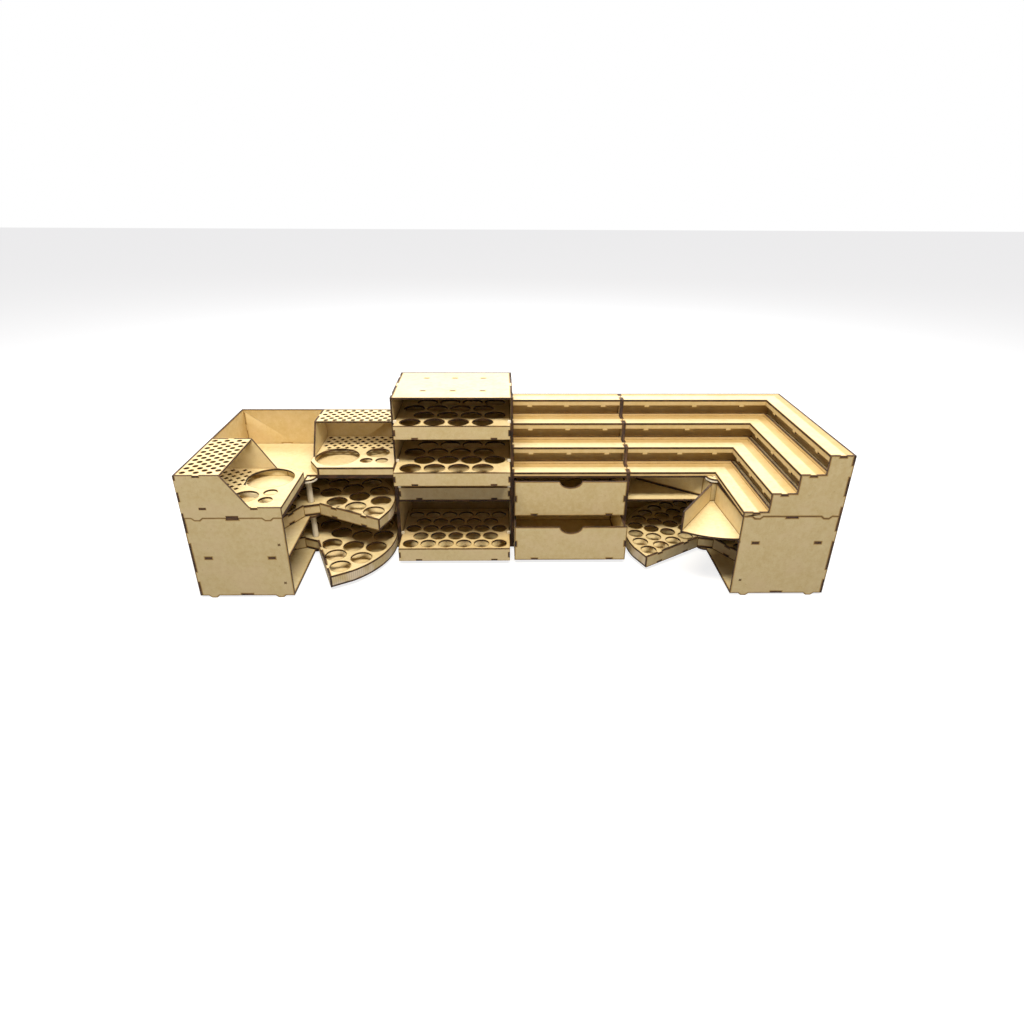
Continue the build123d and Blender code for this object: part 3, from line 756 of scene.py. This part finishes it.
rackWalls = {
    "nodes": ["rack_walls"],
    # a darker tone together with the smoke share: painted shade on the rack's walls
    "tone": -0.2,
    "spread": 0.1,
    "rings": wallShadeRings,
    "materials": plainBoard,
}
dress(rackWalls)

rackBase = {
    "nodes": ["rack_base"],
    "tone": 0.0,
    "spread": 0.1,
    "rings": baseRings,
    "materials": plainBoard,
}
dress(rackBase)


steps = {
    "treads": (treadRings, treadFace),
    "lips": (frontLipRings, boardFace),
    "risers": (recessShadeRings, boardFace),
    "ends": (panelRings, boardFace),
}


def stepLook(part):
    rings, face = steps[part]
    return {
        "nodes": ["step_" + part, "corner_step_" + part],
        "tone": 0.0,
        "spread": 0.4,
        "rings": rings,
        "materials": (face, charredEdge),
    }


for part in steps:
    dress(stepLook(part))


# the floor shows white to the camera and throws back less light than it shows
floorLook = {
    "size": 14.0,
    "seen": 0.80,
    "seenDiffuse": 0.34,
    "thrown": 0.20,
    "mottle": {"scale": 40.0},
    "mottleLeast": 0.985,
    "mottleSpan": 0.03,
}


def makeFloor():
    finish = Finish("paleFloor")
    finish.tree.nodes.remove(finish.shader)
    direct = finish.ray("Is Camera Ray") + finish.ray("Is Glossy Ray")
    seen = direct.join("MINIMUM", direct, 1.0)
    grey = (floorLook["seenDiffuse"],) * 3 + (1.0,)
    thrown = (floorLook["thrown"],) * 3 + (1.0,)
    mottle = finish.noise(finish.place(), **floorLook["mottle"])
    mottle = mottle * floorLook["mottleSpan"] + floorLook["mottleLeast"]
    matt = finish.add("ShaderNodeBsdfDiffuse", {}, {"Color": grey})
    glow = finish.add("ShaderNodeEmission", {}, {"Strength": mottle * floorLook["seen"]})
    shown = finish.add("ShaderNodeAddShader", {}, {0: matt, 1: glow})
    back = finish.add("ShaderNodeBsdfDiffuse", {}, {"Color": thrown})
    mixed = finish.add("ShaderNodeMixShader", {}, {0: seen, 1: back, 2: shown})
    finish.feed(finish.tree.nodes["Material Output"].inputs["Surface"], mixed)
    bm = bmesh.new()
    bmesh.ops.create_grid(bm, x_segments=1, y_segments=1, size=floorLook["size"] / 2)
    mesh = bpy.data.meshes.new("floor")
    bm.to_mesh(mesh)
    bm.free()
    mesh.materials.append(finish.material)
    floor = bpy.data.objects.new("floor", mesh)
    bpy.context.scene.collection.objects.link(floor)


makeFloor()

studio = {
    "light": 0.11,  # what the world throws on the object
    "seen": 1.0,  # what shows behind it
    "fill": (0.92, 0.80, 1.0, 1.0),
    "white": (1.0, 1.0, 1.0, 1.0),
}


def makeWorld():
    world = bpy.data.worlds.new("studio")
    bpy.context.scene.world = world
    world.use_nodes = True
    sky = Wiring(world.node_tree)
    direct = sky.ray("Is Camera Ray")
    seen = direct.join("MAXIMUM", direct, sky.ray("Is Glossy Ray"))
    limits = {"Value": seen, "To Min": studio["light"], "To Max": studio["seen"]}
    backdrop = sky.tree.nodes["Background"]
    sky.feed(backdrop.inputs["Strength"], sky.add("ShaderNodeMapRange", {}, limits))
    sky.feed(backdrop.inputs["Color"], sky.blend(seen, studio["fill"], studio["white"]))


makeWorld()

lamps = (
    {"name": "keyLamp", "wide": 1.6, "deep": 0.5, "power": 67.0, "colour": (1.0, 0.93, 0.80),
     "spot": (-0.05, -0.80, 2.00), "aim": (0.0, 0.0, 0.1)},
    {"name": "backLamp", "wide": 1.8, "deep": 1.2, "power": 52.0, "colour": (0.90, 0.96, 1.0),
     "spot": (0.10, 1.30, 1.70), "aim": (0.0, 0.0, 0.1)},
)


def makeLamp(look):
    data = bpy.data.lights.new(look["name"], "AREA")
    data.shape = "RECTANGLE"
    data.size = look["wide"]
    data.size_y = look["deep"]
    data.energy = look["power"]
    data.color = look["colour"]
    lamp = bpy.data.objects.new(look["name"], data)
    aim = Vector(look["aim"]) - Vector(look["spot"])
    heading = aim.to_track_quat("-Z", "Y").to_matrix().to_4x4()
    lamp.matrix_world = Matrix.Translation(look["spot"]) @ heading
    bpy.context.scene.collection.objects.link(lamp)


for lampLook in lamps:
    makeLamp(lampLook)

camera = {
    "spot": (-0.02491, -1.03987, 0.61719),
    "down": 26.61,
    "yaw": -1.05,
    "roll": 0.33,
    "focal": 664.74,  # in pixels of a 1024 pixel frame
    "centre": (508.68, 501.18),
    "frame": 1024.0,
    "sensor": 36.0,
}


def makeCamera():
    data = bpy.data.cameras.new("camera")
    data.sensor_width = camera["sensor"]
    data.lens = camera["focal"] / camera["frame"] * camera["sensor"]
    data.shift_x = (camera["frame"] / 2 - camera["centre"][0]) / camera["frame"]
    data.shift_y = (camera["centre"][1] - camera["frame"] / 2) / camera["frame"]
    eye = bpy.data.objects.new("camera", data)
    heading = Matrix.Rotation(math.radians(camera["yaw"]), 4, "Z")
    tilt = Matrix.Rotation(math.radians(90.0 - camera["down"]), 4, "X")
    roll = Matrix.Rotation(math.radians(camera["roll"]), 4, "Z")
    eye.matrix_world = Matrix.Translation(camera["spot"]) @ heading @ tilt @ roll
    bpy.context.scene.collection.objects.link(eye)
    bpy.context.scene.camera = eye


makeCamera()
bpy.context.scene.view_settings.view_transform = "Standard"
print("stage, lamps and camera set")
